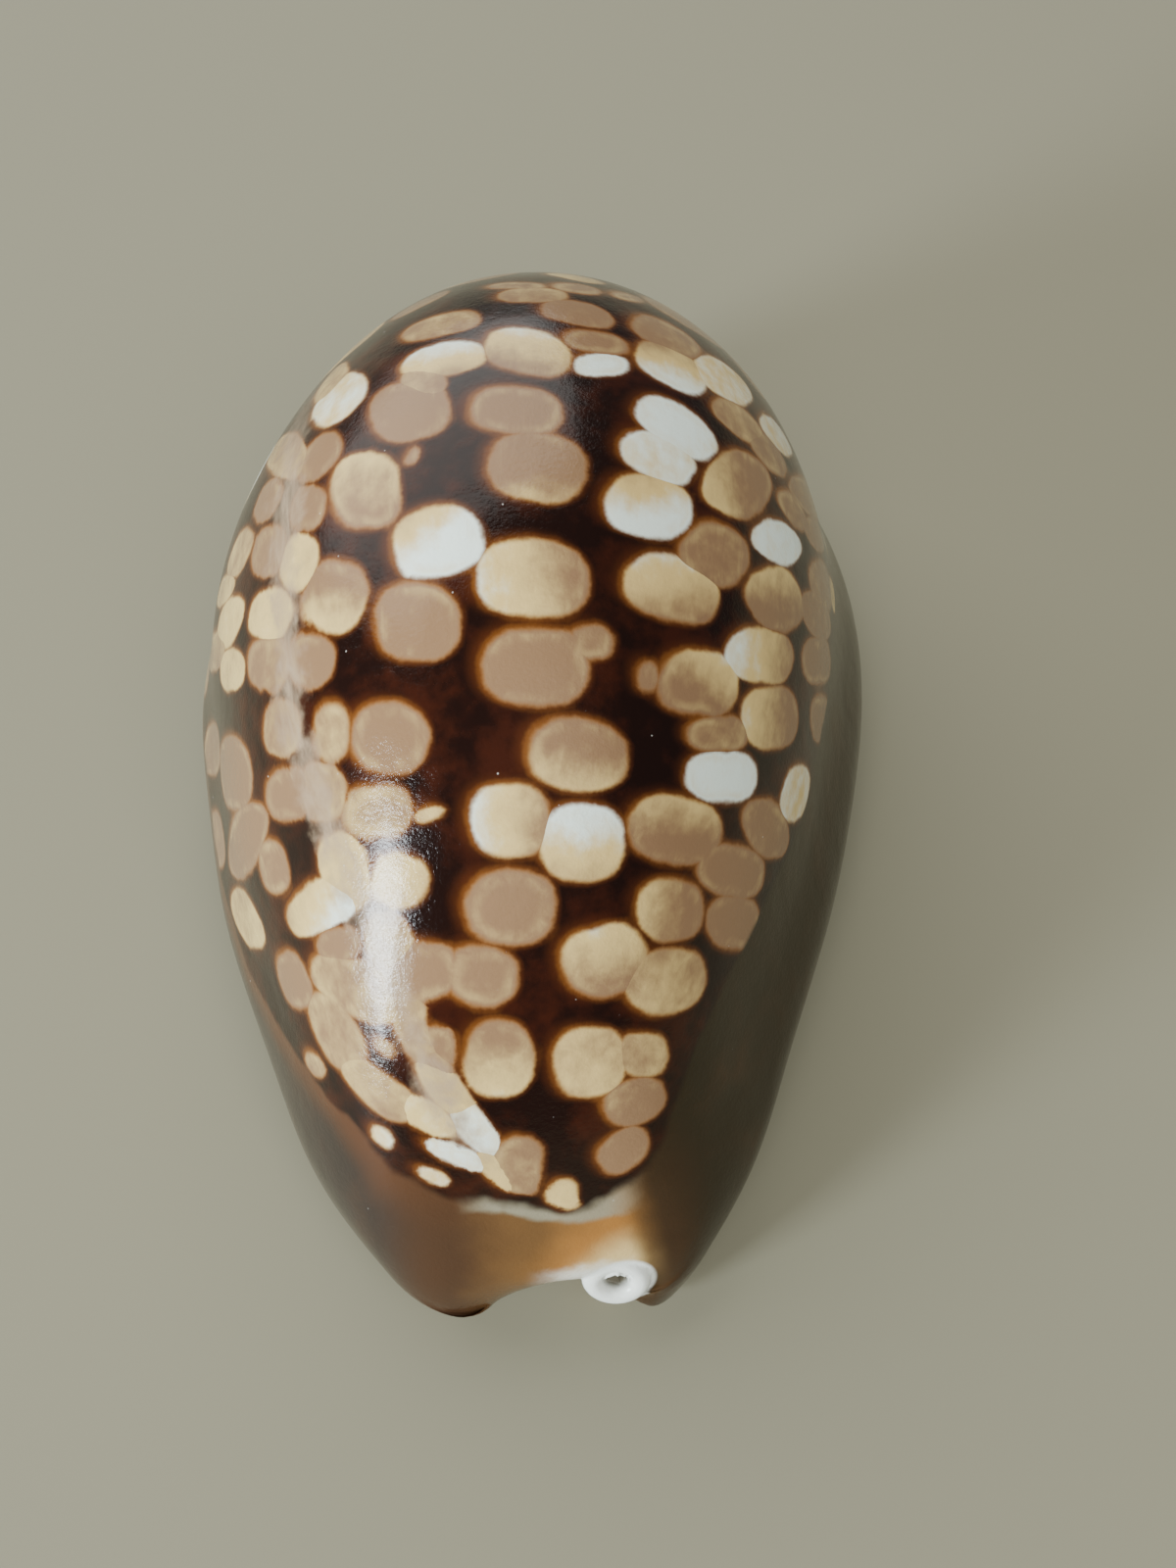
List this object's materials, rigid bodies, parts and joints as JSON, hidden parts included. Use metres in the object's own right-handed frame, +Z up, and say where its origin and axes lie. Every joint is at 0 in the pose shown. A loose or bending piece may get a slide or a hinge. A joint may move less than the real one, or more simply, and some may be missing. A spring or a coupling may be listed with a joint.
{
  "type": "cowrie shell",
  "caption": "Humped, glossy sea shell with a flat base, a long toothed slit along it, a canal at each end and a hollow inside.",
  "frame": {"origin": "centre of the outline's bounding box, on the surface that the base rests on", "axes": "+Y along the shell from its narrow front end to its broad back end, +Z up from the base to the back"},
  "size_m": [0.0596, 0.091, 0.0456],
  "materials": {
    "polished_shell": "polished, with pale spots on dark brown"
  },
  "bodies": {
    "root": {"shell": "polished_shell"}
  },
  "joints": []
}
